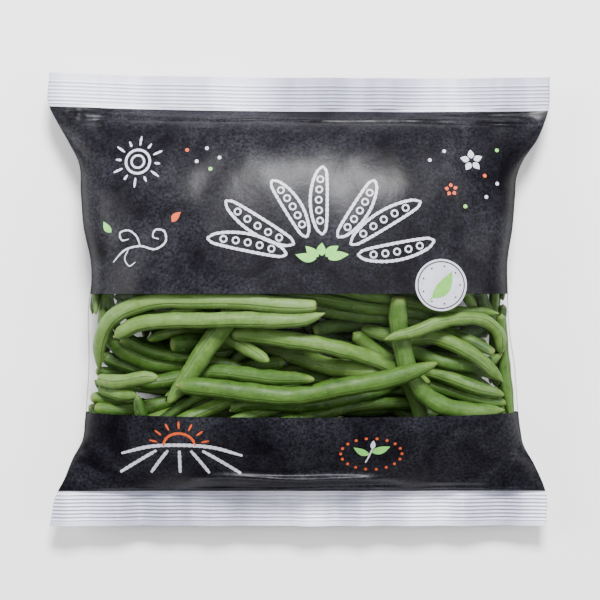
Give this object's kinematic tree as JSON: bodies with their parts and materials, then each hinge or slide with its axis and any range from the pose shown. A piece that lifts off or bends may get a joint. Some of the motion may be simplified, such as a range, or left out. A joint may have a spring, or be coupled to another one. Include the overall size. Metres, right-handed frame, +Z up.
{
  "type": "bag of green beans",
  "caption": "Sealed pillow bag of whole green beans lying flat, dark printed film with a clear band across it and pale ribbed seals at both ends.",
  "frame": {"origin": "on the surface, under the middle of the bag", "axes": "+X across the bag to the right of its front, +Y towards the top seal, +Z up through the front"},
  "size_m": [0.2325, 0.2106, 0.049],
  "materials": {
    "film_print": "satin printed film",
    "film_clear": "clear glossy film",
    "film_seal": "white film, heat pressed with ribs",
    "bean_green": "smooth waxy pod",
    "bean_leaf": "smooth waxy pod",
    "bean_pale": "smooth waxy pod",
    "bean_deep": "smooth waxy pod"
  },
  "bodies": {
    "root": {"seal_top": "film_seal", "film_print_top": "film_print", "film_window": "film_clear", "film_print_foot": "film_print", "seal_foot": "film_seal", "back_seam": "film_print", "bean_01": "bean_green", "bean_02": "bean_leaf", "bean_03": "bean_pale", "bean_04": "bean_deep", "bean_05": "bean_green", "bean_06": "bean_leaf", "bean_07": "bean_pale", "bean_08": "bean_deep", "bean_09": "bean_green", "bean_10": "bean_leaf", "bean_11": "bean_pale", "bean_12": "bean_deep", "bean_13": "bean_green", "bean_14": "bean_leaf", "bean_15": "bean_pale", "bean_16": "bean_deep", "bean_17": "bean_green", "bean_18": "bean_leaf", "bean_19": "bean_pale", "bean_20": "bean_deep", "bean_21": "bean_green", "bean_22": "bean_leaf", "bean_23": "bean_pale", "bean_24": "bean_deep", "bean_25": "bean_green", "bean_26": "bean_leaf", "bean_27": "bean_pale", "bean_28": "bean_deep", "bean_29": "bean_green", "bean_30": "bean_leaf", "bean_31": "bean_pale", "bean_32": "bean_deep", "bean_33": "bean_green", "bean_34": "bean_leaf", "bean_35": "bean_pale", "bean_36": "bean_deep", "bean_37": "bean_green", "bean_38": "bean_leaf", "bean_39": "bean_pale", "bean_40": "bean_deep", "bean_41": "bean_green", "bean_42": "bean_leaf", "bean_43": "bean_pale", "bean_44": "bean_deep", "bean_45": "bean_green", "bean_46": "bean_leaf", "bean_47": "bean_pale", "bean_48": "bean_deep", "bean_49": "bean_green", "bean_50": "bean_leaf", "bean_51": "bean_pale", "bean_52": "bean_deep", "bean_53": "bean_green", "bean_54": "bean_leaf"}
  },
  "joints": []
}
